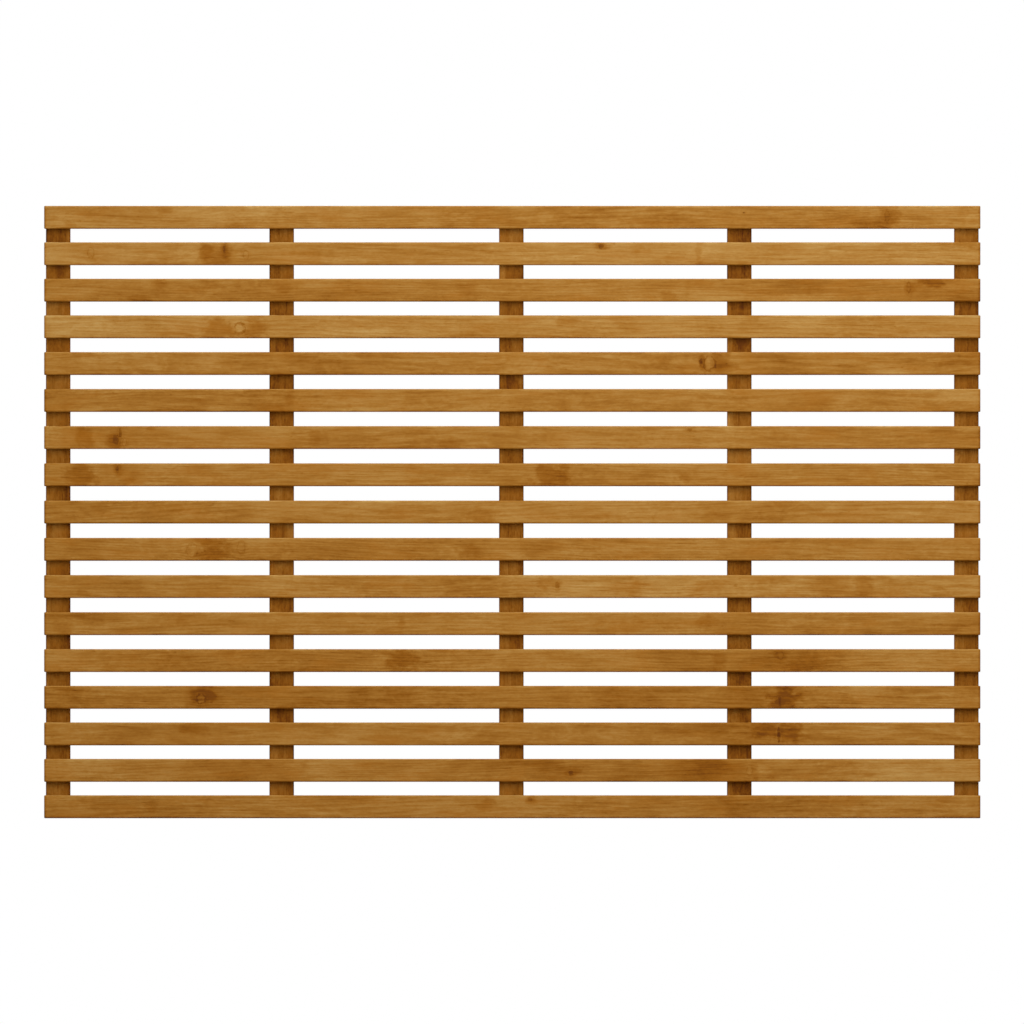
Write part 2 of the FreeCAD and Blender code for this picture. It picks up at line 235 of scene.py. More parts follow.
def board_points(columns, rows, radius):
    """Flat arrays of place along, across and through a board, and of its arris and end masks, with two poles.

    A point is the row's share of its column's core place plus normal times the radius less the row's
    drawing-in.  The arris mask is twice the product of the normal's two parts, or a share of twice the eased
    edge's sine and cosine.  The end mask is full on the sawn end and fades over the edge into the faces; near
    each end it also holds a darker strip of the faces, partly soaked stain and partly painted shade.
    """
    end_wear_share = 0.3
    end_mask_slope = 3
    core_face, core_depth, normal_face, normal_depth = columns
    place, inset, share = rows[..., None]
    reach = radius - inset
    face = share * (core_face + normal_face * reach)
    depth = share * (core_depth + normal_depth * reach)
    along = np.broadcast_to(place, face.shape)
    ease = inset.max()
    sine = 1 - inset / ease
    ends = (share == 1) * 2 * sine * np.sqrt(np.maximum(0, 1 - sine * sine))
    arris = np.maximum((share == 1) * 2 * np.abs(normal_face * normal_depth), end_wear_share * ends)
    half = rows[0].max()
    # Near each end a strip of the faces is darkened: partly soaked stain, partly painted shade.
    end_stain_and_shade = end_stain_and_shade_share * (1 - rise(half - np.abs(along), end_stain_and_shade_start, end_stain_and_shade_stop))
    end_grain_and_shade = np.maximum(np.clip(end_mask_slope * inset / ease, 0, 1), end_stain_and_shade)
    poles = ((-half, half), (0, 0), (0, 0), (0, 0), (1, 1))
    return [np.concatenate([part.ravel(), pole])
            for part, pole in zip((along, face, depth, arris, end_grain_and_shade), poles)]


def wander(along, seed, waves=4):
    """A smooth unevenness from -1 to 1 along a board: a mean of sine waves of random length and start."""
    draw = np.random.default_rng(seed)
    lengths = draw.uniform(0.25, 1.1, waves)
    starts = draw.uniform(0, 2 * math.pi, waves)
    return np.sin(2 * math.pi * along[:, None] / lengths + starts).mean(axis=1)


def arris_nicks(seed, length, count):
    """Random small bruises on a board's long arrises: place along, which arris, depth and half length."""
    draw = np.random.default_rng(seed)
    place = draw.uniform(-0.49, 0.49, count) * length
    side = draw.choice([-1.0, 1.0], (2, count))
    deep = draw.uniform(0.0001, 0.0005, count) * draw.uniform(0.4, 1, count)
    half_length = draw.uniform(0.002, 0.007, count)
    return place, side, deep, half_length


def bruise(along, face, depth, sizes, nicks):
    """Presses the nicks in: each moves points diagonally inwards by its depth, fading as a bell curve."""
    place, side, deep, half_length = nicks
    beside = ((along[:, None] - place) / half_length) ** 2
    reach = 0.0022
    off_face = face[:, None] - side[0] * sizes[0] / 2
    off_depth = depth[:, None] - side[1] * sizes[1] / 2
    pressed = deep * np.exp(-beside - (off_face ** 2 + off_depth ** 2) / reach ** 2)
    return face - (pressed * side[0]).sum(axis=1), depth - (pressed * side[1]).sum(axis=1)


def knot_fields(along, face, depth, knots):
    """Where each point lies from its nearest knot, that knot's look, and its place across, moved aside.

    The place is in the knot's radii, with its width over its height.  A knot is a branch that runs through
    the board, so its middle slants a little with the depth.  Far from every knot the place is held at one
    far value, so that nothing flips between two knots.  A knot moves the grain aside by a share of its
    radius times the height over one plus its square, fading as a bell curve along the board.
    """
    far_off = 20.0
    near_limit = 1.5
    halo_height = 1.5
    aside_share = 0.85
    aside_reach = 1.7
    slant = 0.25
    where = np.zeros((along.size, 3))
    where[:, 1] = far_off
    look = np.zeros((along.size, 3))
    if len(knots) == 0:
        return where, look, face
    table = np.array(knots, dtype=float)
    table[:, :4] *= millimetre
    beside = (along[:, None] - table[:, 0] - slant * depth[:, None]) / table[:, 2]
    above = (face[:, None] - table[:, 1]) / table[:, 3]
    reach = np.hypot(beside / table[:, 5], above / halo_height)
    nearest = reach.argmin(axis=1)
    row = np.arange(along.size)
    near = reach[row, nearest] < near_limit
    where[near, 0] = beside[row, nearest][near]
    where[near, 1] = above[row, nearest][near]
    where[:, 2] = table[nearest, 2] / table[nearest, 3]
    look[:] = table[nearest][:, 4:7]
    aside = aside_share * table[:, 3] * above / (1 + above * above) * np.exp(-(beside / aside_reach) ** 2)
    aside *= np.minimum(1, table[:, 2] / table[:, 3])
    return where, look, face - aside.sum(axis=1)


def soaked_fields(along, face, soaks):
    """How far inside its nearest soaked patch each point lies, its darkness, and the shade of broad patches.

    Inside is 1 less the distance from a patch's middle in its own half sizes, so it is 0 on the border.  The
    shade is the sum of the broad patches' darkness, each times a smooth rise of its inside.
    """
    table = np.array(soaks, dtype=float)
    table[:, :4] *= millimetre
    beside = (along[:, None] - table[:, 0]) / table[:, 2]
    above = (face[:, None] - table[:, 1]) / table[:, 3]
    inside = 1 - np.hypot(beside, above)
    broad = table[:, 2] > broad_limit
    shade = (table[broad, 4] * rise(inside[:, broad], -0.3, 0.6)).sum(axis=1)
    nearest = inside[:, ~broad].argmax(axis=1)
    held = np.maximum(inside[:, ~broad].max(axis=1), -2)
    return np.stack([held, table[~broad, 4][nearest], shade], axis=1)


def log_places(along, face, depth, seed, pith):
    """Where each point grew in the log: along the grain from a random start, and across it from the pith.

    No board is sawn quite along the grain, so the place across climbs by a small slope and sways as a sine.
    """
    sway = 0.0015
    draw = np.random.default_rng(seed)
    start, slope, length, turn = draw.uniform((0, -0.02, 0.3, 0), (40, 0.02, 0.6, 2 * math.pi))
    across = face + slope * along + sway * np.sin(2 * math.pi * along / length + turn)
    return np.stack([along + start, across + pith[0], depth + pith[1]], axis=1)


def bake_places(columns, rows, points, sizes, strips):
    """Corners' places on a square map, for the grid's quads and the two end fans.

    The board's skin is unrolled, cut across into equal strips and stacked, so that a long thin board fills
    the square; the end faces lie flat beside the strips.
    """
    face_size, depth_size = sizes[1:]
    gap = 0.006
    along, face, depth = points[:3]
    grid_shape = (rows.shape[1], columns.shape[1])
    outer = np.stack([part[:-2].reshape(grid_shape)[grid_shape[0] // 2] for part in (face, depth)])
    hops = np.hypot(*(np.roll(outer, -1, axis=1) - outer))
    outline = np.concatenate([[0], np.cumsum(hops)])
    skin = rows[2] == 1
    travel = np.hypot(np.diff(rows[0]), np.diff(rows[1])) * (skin[1:] & skin[:-1])
    run = np.concatenate([[0], np.cumsum(travel)])
    strip_length = run[-1] / strips
    strip = np.clip((run[1:] + run[:-1]) / 2 // strip_length, 0, strips - 1)[:, None]
    corners_u = []
    corners_v = []
    far_end = (along > 0) * 1.0
    flat_u = strip_length + gap + depth + depth_size / 2
    flat_v = far_end * (face_size + gap) + face + face_size / 2
    on_cap = ~(skin[1:] & skin[:-1])[:, None]
    cap_u = flat_u[:-2].reshape(grid_shape)
    cap_v = flat_v[:-2].reshape(grid_shape)
    for row_step, column_step in ((0, 0), (0, 1), (1, 1), (1, 0)):
        row = slice(row_step, grid_shape[0] - 1 + row_step)
        turned = np.roll(np.arange(grid_shape[1]), -column_step)
        skin_u = run[row][:, None] - strip * strip_length
        skin_v = outline[column_step:][:grid_shape[1]] + strip * (outline[-1] + gap)
        corners_u.append(np.where(on_cap, cap_u[row][:, turned], skin_u))
        corners_v.append(np.where(on_cap, cap_v[row][:, turned], skin_v))
    side = max(strip_length + 2 * gap + depth_size, strips * (outline[-1] + gap)) + gap
    quads = np.stack([np.stack(corners_u, axis=-1), np.stack(corners_v, axis=-1)], axis=-1)
    flat = np.stack([flat_u, flat_v], axis=-1)
    return (quads.reshape(-1, 4, 2) + gap / 2) / side, (flat + gap / 2) / side


def board_object(name, columns, rows, points, shaped, sizes, axes, centre, strips, attributes):
    """Puts a board's grid into a mesh: quads between rows and columns, and triangles round each pole."""
    count = columns.shape[1]
    grid = np.arange(rows.shape[1] * count).reshape(-1, count)
    beside = np.roll(grid, -1, axis=1)
    quads = np.stack([grid[:-1], beside[:-1], beside[1:], grid[1:]], axis=-1).reshape(-1, 4)
    poles = grid.size + np.arange(2)
    fans = np.concatenate([
        np.stack([np.full(count, poles[0]), beside[0], grid[0]], axis=-1),
        np.stack([np.full(count, poles[1]), grid[-1], beside[-1]], axis=-1),
    ])
    quad_map, flat_map = bake_places(columns, rows, points, sizes, strips)
    fan_map = flat_map[fans]
    if axes == (0, 2, 1):
        quads = quads[:, ::-1]
        quad_map = quad_map[:, ::-1]
        fans = fans[:, ::-1]
        fan_map = fan_map[:, ::-1]
    places = np.empty((grid.size + 2, 3))
    for axis, part in zip(axes, shaped):
        places[:, axis] = part + centre[axis]
    mesh = bpy.data.meshes.new(name)
    mesh.vertices.add(len(places))
    mesh.vertices.foreach_set("co", places.ravel())
    mesh.loops.add(quads.size + fans.size)
    mesh.loops.foreach_set("vertex_index", np.concatenate([quads.ravel(), fans.ravel()]))
    mesh.polygons.add(len(quads) + len(fans))
    starts = np.concatenate([4 * np.arange(len(quads)), quads.size + 3 * np.arange(len(fans))])
    mesh.polygons.foreach_set("loop_start", starts)
    mesh.update(calc_edges=True)
    mesh.shade_smooth()
    bake_map = mesh.uv_layers.new(name="OFBake")
    bake_map.data.foreach_set("uv", np.concatenate([quad_map.ravel(), fan_map.ravel()]))
    for label, values in attributes.items():
        mesh.attributes.new(label, "FLOAT_VECTOR", "POINT").data.foreach_set("vector", values.ravel())
    piece = bpy.data.objects.new(name, mesh)
    bpy.context.collection.objects.link(piece)
    return piece


def from_screen(red, green, blue):
    """A colour as seen on screen, 0 to 255, as the linear colour that Blender's sockets hold."""
    share = np.array([red, green, blue]) / 255
    linear = np.where(share <= 0.04045, share / 12.92, ((share + 0.055) / 1.055) ** 2.4)
    return (*linear, 1.0)


def feed(tree, socket, value):
    """Links another node's output to a socket, or sets the socket's own number, vector or colour."""
    if isinstance(value, bpy.types.NodeSocket):
        tree.links.new(value, socket)
    else:
        socket.default_value = value


def add(tree, kind, inputs, output=0, **settings):
    """Adds a node with its settings and inputs, and gives one of its outputs."""
    made = tree.nodes.new(kind)
    for key, setting in settings.items():
        setattr(made, key, setting)
    for key, value in inputs.items():
        feed(tree, made.inputs[key], value)
    return made.outputs[output]


def maths(tree, operation, *values):
    """One arithmetic step on numbers or outputs."""
    return add(tree, "ShaderNodeMath", dict(enumerate(values)), operation=operation)


def new_finish(name):
    """A new material, its node tree and its Principled shader."""
    material = bpy.data.materials.new(name)
    material.use_nodes = True
    return material, material.node_tree, material.node_tree.nodes["Principled BSDF"]


def stretched(tree, place, along, across):
    """A place times one factor along the grain and another across it."""
    return add(tree, "ShaderNodeVectorMath", {0: place, 1: (along, across, across)}, operation="MULTIPLY")


def cloudy(tree, place, detail, roughness, distortion=0.0):
    """Smooth noise from 0 to 1 about a half."""
    inputs = {"Vector": place, "Scale": 1.0, "Detail": detail, "Roughness": roughness,
              "Distortion": distortion}
    return add(tree, "ShaderNodeTexNoise", inputs)


def step_up(tree, value, low, high):
    """0 below low and 1 above high, with a smooth rise between."""
    inputs = {"Value": value, "From Min": low, "From Max": high}
    return add(tree, "ShaderNodeMapRange", inputs, interpolation_type="SMOOTHSTEP")


def mixed(tree, factor, first, second):
    """Two colours mixed by a factor."""
    inputs = {0: factor, 6: first, 7: second}
    return add(tree, "ShaderNodeMix", inputs, output=2, data_type="RGBA")


def new_group(name, inputs, outputs):
    """An empty shader node group with named sockets: its tree, what it is given, and what it puts out."""
    tree = bpy.data.node_groups.new(name, "ShaderNodeTree")
    for label, kind in inputs.items():
        tree.interface.new_socket(label, in_out="INPUT", socket_type=kind)
    for label in outputs:
        tree.interface.new_socket(label, in_out="OUTPUT", socket_type="NodeSocketFloat")
    entry = tree.nodes.new("NodeGroupInput")
    leave = tree.nodes.new("NodeGroupOutput")
    return tree, entry.outputs, leave.inputs


def growth_rings_group():
    """Late wood as thin bands about the pith, from the fraction of the radius over the ring pitch.

    The radius sways slowly along the grain, so that flat-sawn faces show long arches, and ring widths vary.
    """
    tree, given, out = new_group("growth rings", {"Place": "NodeSocketVector", "Pitch": "NodeSocketFloat"},
                                 ["Late Wood"])
    parts = tree.nodes.new("ShaderNodeSeparateXYZ")
    feed(tree, parts.inputs[0], given["Place"])
    squares = maths(tree, "MULTIPLY", parts.outputs[1], parts.outputs[1])
    radius = maths(tree, "SQRT", maths(tree, "MULTIPLY_ADD", parts.outputs[2], parts.outputs[2], squares))
    sway = cloudy(tree, stretched(tree, given["Place"], 2.4, 24.0), 2.0, 0.5)
    shiver = cloudy(tree, stretched(tree, given["Place"], 16.0, 190.0), 2.0, 0.5)
    swayed = maths(tree, "MULTIPLY_ADD", sway, 0.022, radius)
    turns = maths(tree, "DIVIDE", swayed, given["Pitch"])
    turns = maths(tree, "MULTIPLY_ADD", shiver, 0.45, turns)
    inputs = {"W": maths(tree, "MULTIPLY", turns, 0.31), "Scale": 1.0, "Detail": 1.0}
    widths = add(tree, "ShaderNodeTexNoise", inputs, noise_dimensions="1D")
    turns = maths(tree, "MULTIPLY_ADD", widths, 1.6, turns)
    share = maths(tree, "FRACT", turns)
    darkening = step_up(tree, share, 0.3, 0.82)
    ending = step_up(tree, share, 0.86, 1.0)
    feed(tree, out["Late Wood"], maths(tree, "SUBTRACT", darkening, ending))
    return tree


def wood_fibre_group():
    """Streaks, fine fibres and grit along the grain, with dark marks: long flecks and pin specks.

    Each is noise stretched along the grain.  A speck is a small disc in the middle of one cell of ten.
    """
    tree, given, out = new_group("wood fibre", {"Place": "NodeSocketVector"},
                                 ["Streaks", "Fibres", "Grit", "Flecks", "Specks"])
    streaks = cloudy(tree, stretched(tree, given["Place"], 12.0, 150.0), 3.0, 0.68)
    fibres = cloudy(tree, stretched(tree, given["Place"], 26.0, 900.0), 2.0, 0.55)
    grit = cloudy(tree, stretched(tree, given["Place"], 130.0, 260.0), 2.0, 0.6)
    flecks = cloudy(tree, stretched(tree, given["Place"], 34.0, 620.0), 1.0, 0.5)
    cell_place = stretched(tree, given["Place"], 70.0, 130.0)
    cells = add(tree, "ShaderNodeTexVoronoi", {"Vector": cell_place, "Scale": 1.0})
    chance = tree.nodes.new("ShaderNodeSeparateColor")
    feed(tree, chance.inputs[0], cells.node.outputs["Color"])
    disc = maths(tree, "SUBTRACT", 1.0, step_up(tree, cells, 0.08, 0.24))
    feed(tree, out["Streaks"], streaks)
    feed(tree, out["Fibres"], fibres)
    feed(tree, out["Grit"], grit)
    feed(tree, out["Flecks"], step_up(tree, flecks, 0.66, 0.76))
    feed(tree, out["Specks"], maths(tree, "MULTIPLY", disc, step_up(tree, chance.outputs[0], 0.9, 0.96)))
    return tree


def stain_soak_group():
    """How much stain the wood drank: clouds with torn edges, slow drifts, mottle in stretches, and patches.

    A patch is dark where its inside, moved by a cloudy and a streaky noise so that its border is torn along
    the grain, is above 0.  The broad shade is mottled by the same clouds.
    """
    tree, given, out = new_group("stain soak", {"Place": "NodeSocketVector", "Soaked": "NodeSocketVector"},
                                 ["Soak", "Mottle", "Patches", "Warmth"])
    clouds = cloudy(tree, stretched(tree, given["Place"], 11.0, 24.0), 4.0, 0.6, 0.6)
    torn = step_up(tree, clouds, 0.36, 0.64)
    drifts = cloudy(tree, stretched(tree, given["Place"], 1.9, 9.0), 2.0, 0.5)
    soak = maths(tree, "MULTIPLY_ADD", torn, 0.15, maths(tree, "MULTIPLY", drifts, 0.85))
    shifted = add(tree, "ShaderNodeVectorMath", {0: given["Place"], 1: (13.7, 4.1, 2.9)}, operation="ADD")
    patches = cloudy(tree, stretched(tree, shifted, 34.0, 60.0), 3.0, 0.55, 1.2)
    stretch = cloudy(tree, stretched(tree, shifted, 5.0, 12.0), 1.0, 0.5)
    mottle = maths(tree, "SUBTRACT", step_up(tree, patches, 0.38, 0.62), 0.5)
    warmth = cloudy(tree, stretched(tree, shifted, 8.0, 30.0), 3.0, 0.55, 0.4)
    soaked = tree.nodes.new("ShaderNodeSeparateXYZ")
    feed(tree, soaked.inputs[0], given["Soaked"])
    inside, darkness, broad = soaked.outputs
    border = cloudy(tree, stretched(tree, shifted, 40.0, 60.0), 4.0, 0.6)
    streaky = cloudy(tree, stretched(tree, given["Place"], 26.0, 330.0), 2.0, 0.5)
    moved = maths(tree, "MULTIPLY_ADD", maths(tree, "SUBTRACT", border, 0.5), 3.2, inside)
    moved = maths(tree, "MULTIPLY_ADD", maths(tree, "SUBTRACT", streaky, 0.5), 0.6, moved)
    patched = maths(tree, "MULTIPLY", step_up(tree, moved, -0.5, 0.6), darkness)
    patched = maths(tree, "MULTIPLY_ADD", broad, maths(tree, "ADD", border, 0.5), patched)
    feed(tree, out["Patches"], patched)
    feed(tree, out["Soak"], soak)
    feed(tree, out["Mottle"], maths(tree, "MULTIPLY", mottle, step_up(tree, stretch, 0.42, 0.62)))
    feed(tree, out["Warmth"], step_up(tree, warmth, 0.5, 0.72))
    return tree


def knot_figure_group():
    """Masks of a knot by the distance from it in its own radii: its heart, dark rim, rings and halo.

    The halo is measured on an ellipse that is stretched along the grain.  It is strongest in two fans to the
    left and right, where the height over the distance beside is small.  A little noise roughens every edge.
    """
    inputs = {"Knot": "NodeSocketVector", "Look": "NodeSocketVector", "Place": "NodeSocketVector"}
    tree, given, out = new_group("knot figure", inputs, ["Heart", "Rim", "Rings", "Halo"])
    parts = tree.nodes.new("ShaderNodeSeparateXYZ")
    feed(tree, parts.inputs[0], given["Knot"])
    look = tree.nodes.new("ShaderNodeSeparateXYZ")
    feed(tree, look.inputs[0], given["Look"])
    rough = cloudy(tree, stretched(tree, given["Place"], 90.0, 180.0), 3.0, 0.6)
    own = add(tree, "ShaderNodeVectorMath", {0: given["Look"], 1: (7.0, 3.0, 5.0), 2: given["Knot"]},
              operation="MULTIPLY_ADD")
    uneven = cloudy(tree, stretched(tree, own, 1.3, 1.3), 3.0, 0.6)
    above = maths(tree, "MULTIPLY", parts.outputs[1], parts.outputs[1])
    reach = maths(tree, "SQRT", maths(tree, "MULTIPLY_ADD", parts.outputs[0], parts.outputs[0], above))
    reach = maths(tree, "MULTIPLY_ADD", uneven, 1.5, maths(tree, "SUBTRACT", reach, 0.75))
    heart = maths(tree, "SUBTRACT", 1.0, step_up(tree, reach, 0.45, 1.15))
    rim = maths(tree, "SUBTRACT", step_up(tree, reach, 0.7, 0.95), step_up(tree, reach, 0.98, 1.25))
    broken = cloudy(tree, own, 1.0, 0.5)
    rim = maths(tree, "MULTIPLY", rim, step_up(tree, broken, 0.28, 0.48))
    rings = maths(tree, "SINE", maths(tree, "MULTIPLY", reach, 17.0))
    slid = maths(tree, "DIVIDE", parts.outputs[0], look.outputs[1])
    wide = maths(tree, "MULTIPLY", above, 0.12)
    halo = maths(tree, "SQRT", maths(tree, "MULTIPLY_ADD", slid, slid, wide))
    halo = maths(tree, "MULTIPLY_ADD", rough, 0.8, maths(tree, "SUBTRACT", halo, 0.4))
    halo = maths(tree, "SUBTRACT", 1.0, step_up(tree, halo, 0.4, 1.05))
    width = maths(tree, "MULTIPLY", maths(tree, "ABSOLUTE", parts.outputs[0]), parts.outputs[2])
    off_height = maths(tree, "ABSOLUTE", parts.outputs[1])
    slope = maths(tree, "DIVIDE", off_height, maths(tree, "ADD", width, 0.15))
    fans = maths(tree, "SUBTRACT", 1.0, step_up(tree, slope, 0.5, 1.3))
    halo = maths(tree, "MULTIPLY", halo, maths(tree, "MULTIPLY_ADD", fans, 0.7, 0.3))
    bent = add(tree, "ShaderNodeVectorMath", {0: stretched(tree, given["Place"], 38.0, 60.0),
                                              1: maths(tree, "MULTIPLY", rough, 1.5)}, operation="ADD")
    inputs = {"Vector": bent, "Scale": 1.0, "Smoothness": 0.1}
    cells = add(tree, "ShaderNodeTexVoronoi", inputs, output="Color", feature="SMOOTH_F1")
    shade = tree.nodes.new("ShaderNodeSeparateColor")
    feed(tree, shade.inputs[0], cells)
    halo = maths(tree, "MULTIPLY", halo, maths(tree, "MULTIPLY_ADD", shade.outputs[0], 0.9, 0.45))
    for label, mask in (("Heart", heart), ("Rim", rim), ("Halo", halo)):
        feed(tree, out[label], maths(tree, "MULTIPLY", mask, look.outputs[0]))
    feed(tree, out["Rings"], maths(tree, "MULTIPLY", rings, heart))
    return tree


def arris_wear_group():
    """Where handling has rubbed the stain thin: the arris mask times the upper part of a cloudy noise."""
    inputs = {"Arris": "NodeSocketFloat", "Place": "NodeSocketVector"}
    tree, given, out = new_group("arris wear", inputs, ["Wear"])
    patches = cloudy(tree, stretched(tree, given["Place"], 12.0, 60.0), 3.0, 0.6)
    feed(tree, out["Wear"], maths(tree, "MULTIPLY", given["Arris"], step_up(tree, patches, 0.42, 0.68)))
    return tree


wood_groups = {
    "rings": growth_rings_group(),
    "fibre": wood_fibre_group(),
    "soak": stain_soak_group(),
    "knot": knot_figure_group(),
    "wear": arris_wear_group(),
}

# Stain colours from the most soaked to the least, and the warmer one that shows in patches.
warm_stain = from_screen(163, 98, 18)
stain_colours = (
    (0.0, from_screen(90, 43, 2)),
    (0.1, from_screen(118, 66, 4)),
    (0.25, from_screen(140, 85, 15)),
    (0.5, from_screen(164, 111, 41)),
    (0.75, from_screen(181, 135, 68)),
    (1.0, from_screen(197, 161, 99)),
)


def stained_timber(name, ring_pitch, tone, streak_share, grit_share, soak_share):
    """Stained softwood: a stain level from grain, soak, knots and wear, with painted edge shade and
    highlight, coloured dark to pale, then warmed.

    The level is a half plus the tone, partly painted shade on the battens, and the board's own tone, which
    also holds painted edge shade and highlight, plus for each effect its share times its departure from its
    own middle.  Streaks are calmer where a patch has drunk more stain.
    """
    material, tree, shader = new_finish(name)

    def field(label):
        return add(tree, "ShaderNodeAttribute", {}, output="Vector", attribute_name=label)

    def group(label, inputs):
        made = tree.nodes.new("ShaderNodeGroup")
        made.node_tree = wood_groups[label]
        for key, value in inputs.items():
            feed(tree, made.inputs[key], value)
        return made.outputs

    place = field("log_place")
    finish_and_shade = tree.nodes.new("ShaderNodeSeparateXYZ")
    feed(tree, finish_and_shade.inputs[0], field("finish_and_shade"))
    board_tone_and_shade, arris, end_grain_and_shade = finish_and_shade.outputs
    rings = group("rings", {"Place": place, "Pitch": ring_pitch})
    fibre = group("fibre", {"Place": place})
    soak = group("soak", {"Place": place, "Soaked": field("soaked")})
    knot = group("knot", {"Place": place, "Knot": field("knot_place"), "Look": field("knot_look")})
    wear = group("wear", {"Place": place, "Arris": arris})

    look = tree.nodes.new("ShaderNodeSeparateXYZ")
    feed(tree, look.inputs[0], field("knot_look"))

    level = maths(tree, "ADD", board_tone_and_shade, 0.5 + tone)
    calm = maths(tree, "MULTIPLY_ADD", soak["Patches"], -0.8 * streak_share, streak_share)
    streaks = maths(tree, "MULTIPLY", maths(tree, "SUBTRACT", fibre["Streaks"], 0.5), calm)
    paleness = maths(tree, "MULTIPLY_ADD", look.outputs[2], 0.5, -0.42)
    shares = (
        (streaks, 1.0, 0.0),
        (fibre["Fibres"], 0.33, 0.5),
        (fibre["Grit"], grit_share, 0.5),
        (soak["Soak"], -soak_share, 0.5),
        (soak["Mottle"], -0.08, 0.0),
        (soak["Patches"], -0.3, 0.0),
        (rings["Late Wood"], -0.09, 0.3),
        (fibre["Flecks"], -0.16, 0.0),
        (fibre["Specks"], -0.13, 0.0),
        (knot["Halo"], -0.15, 0.0),
        (knot["Rim"], -0.36, 0.0),
        (maths(tree, "MULTIPLY", knot["Heart"], paleness), 1.0, 0.0),
        (wear["Wear"], 0.16, 0.0),
        (end_grain_and_shade, -0.32, 0.0),
    )
    for mask, share, middle in shares:
        level = maths(tree, "MULTIPLY_ADD", maths(tree, "SUBTRACT", mask, middle), share, level)
    ramp = tree.nodes.new("ShaderNodeValToRGB")
    steps = ramp.color_ramp.elements
    while len(steps) < len(stain_colours):
        steps.new(0.5)
    for step, (position, colour) in zip(steps, stain_colours):
        step.position = position
        step.color = colour
    feed(tree, ramp.inputs[0], level)
    warm = maths(tree, "MULTIPLY", soak["Warmth"], 0.3)
    warm = maths(tree, "MULTIPLY_ADD", soak["Patches"], 0.22, warm)
    warm = maths(tree, "MULTIPLY", warm, maths(tree, "SUBTRACT", 1.0, knot["Heart"]))
    colour = mixed(tree, warm, ramp.outputs[0], warm_stain)
    feed(tree, shader.inputs["Base Color"], colour)

    dull = maths(tree, "MULTIPLY_ADD", fibre["Fibres"], 0.25, 0.5)
    dull = maths(tree, "MULTIPLY_ADD", end_grain_and_shade, 0.15, dull)
    feed(tree, shader.inputs["Roughness"], maths(tree, "MULTIPLY_ADD", knot["Heart"], -0.12, dull))
    shader.inputs["Specular IOR Level"].default_value = 0.06
    height = maths(tree, "MULTIPLY_ADD", rings["Late Wood"], 0.35, fibre["Fibres"])
    height = maths(tree, "MULTIPLY_ADD", fibre["Flecks"], -0.4, height)
    height = maths(tree, "MULTIPLY_ADD", knot["Rings"], 0.2, height)
    bump = add(tree, "ShaderNodeBump", {"Height": height, "Strength": 0.5, "Distance": 0.0003})
    feed(tree, shader.inputs["Normal"], bump)
    return material


slat_stain_and_shade = stained_timber("slat stain and shade", slat_ring_pitch, tone=0.0, streak_share=0.5, grit_share=0.2,
                            soak_share=0.76)

for number in range(1, slat_count + 1):
    node = f"slat_{number:02d}"
    low, high = (np.array(corner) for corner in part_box(node))
    length, depth_size, face_size = high - low
    sizes = (length, face_size, depth_size)
    knots = slat_knots.get(number, [])
    soaks = slat_soaks[number]
    nicks = arris_nicks(slat_nick_seed + number, length, slat_nick_count)
    knot_stations = np.array([knot[0] for knot in knots]) * millimetre
    soak_stations = np.concatenate([soak[0] + soak[2] * soak_rows for soak in soaks]) * millimetre
    strip_ends = (np.arange(1, slat_strips) / slat_strips - 0.5) * length
    stations = np.concatenate([
        np.arange(-length / 2, length / 2, slat_row_step),
        (nicks[0][:, None] + nick_rows).ravel(),
        (knot_stations[:, None] + knot_rows).ravel(),
        soak_stations,
        strip_ends,
    ])
    lines = face_lines(face_size, slat_round, slat_line_count)
    columns = section_columns(face_size, depth_size, slat_round, lines, lines)
    rows = end_to_end(length, slat_ease, stations)
    points = board_points(columns, rows, slat_round)
    along, face, depth, arris, end_grain_and_shade = points
    knot_place, knot_look, grain_face = knot_fields(along, face, depth, knots)
    draw = np.random.default_rng(slat_pith_seed + number)
    pith_face = draw.choice([-1, 1]) * draw.uniform(0.002, 0.05)
    pith_depth = draw.choice([-1, 1]) * draw.uniform(0.02, 0.07)
    edge = face_size / 2
    brim = edge - slat_edge_margin
    # Painted shade darkens each slat's lower edge, most towards its front and back faces.
    edge_shade = rise(-face, edge - slat_low_edge_shade_width, brim) * near_faces(depth, depth_size, start=0.15, least=0.3)
    # A painted highlight lightens each slat's upper edge.
    top_edge_highlight = rise(face, edge - slat_top_edge_highlight_width, brim)
    tone = slat_tones[number - 1] - slat_low_edge_shade_share * edge_shade + slat_top_edge_highlight_share * top_edge_highlight
    finish_and_shade = np.stack([tone, arris, end_grain_and_shade], axis=1)
    attributes = {
        "log_place": log_places(along, grain_face, depth, slat_log_seed + number, (pith_face, pith_depth)),
        "knot_place": knot_place,
        "knot_look": knot_look,
        "soaked": soaked_fields(along, grain_face, soaks),
        "finish_and_shade": finish_and_shade,
    }
    planed = face * (1 - slat_waver * (1 + wander(along, slat_waver_seed + number)))
    bruised = bruise(along, planed, depth, (face_size, depth_size), nicks)
    board = board_object(f"{node}_board", columns, rows, points, (along, *bruised), sizes, (0, 2, 1),
                         (low + high) / 2, slat_strips, attributes)
    board.data.materials.append(slat_stain_and_shade)
    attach(board, "root")
    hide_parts(node)

# Battens
# Five upright boards of the same stained softwood, laid across the backs of the slats.
# Each is drilled and countersunk from behind at every slat, twice, for the screws that hold the panel.

batten_count = 5
batten_round = 0.002
batten_ease = 0.001
batten_ring_pitch = 0.009
batten_strips = 3
batten_row_step = 0.012
batten_line_count = 11
batten_nick_count = 10
# Painted shade along both long edges of each batten: its width and strength.
batten_side_edge_shade_width = 0.003
batten_side_edge_shade_share = 0.25
batten_edge_margin = 0.0005
# Each batten is lighter towards its -x edge and darker towards its +x edge, by this share at each edge.
batten_lean_share = 0.035

